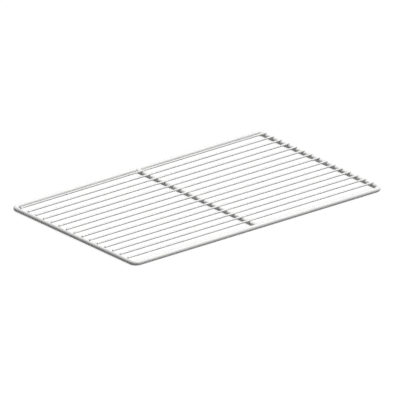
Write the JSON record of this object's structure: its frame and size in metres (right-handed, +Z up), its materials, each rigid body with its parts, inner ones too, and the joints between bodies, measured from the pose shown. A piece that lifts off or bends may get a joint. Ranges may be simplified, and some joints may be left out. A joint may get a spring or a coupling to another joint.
{
  "type": "plastic-coated wire shelf",
  "caption": "Flat rectangular refrigerator shelf: a deck of thin parallel wires welded across a closed bent rim and a central cross bar, coated in white plastic.",
  "frame": {"origin": "centre of the shelf on the plane that the rim's underside lies on", "axes": "+X along the deck wires, the shelf's length; +Y across them, its width; +Z up, from the rim to the deck wires"},
  "size_m": [0.53, 0.325, 0.0111],
  "materials": {
    "white_coat": "semi-gloss dipped plastic coat"
  },
  "bodies": {
    "root": {"rim_wire": "white_coat", "cross_bar": "white_coat", "deck_wire_01": "white_coat", "deck_wire_02": "white_coat", "deck_wire_03": "white_coat", "deck_wire_04": "white_coat", "deck_wire_05": "white_coat", "deck_wire_06": "white_coat", "deck_wire_07": "white_coat", "deck_wire_08": "white_coat", "deck_wire_09": "white_coat", "deck_wire_10": "white_coat", "deck_wire_11": "white_coat", "deck_wire_12": "white_coat", "deck_wire_13": "white_coat", "deck_wire_14": "white_coat", "deck_wire_15": "white_coat"}
  },
  "joints": []
}
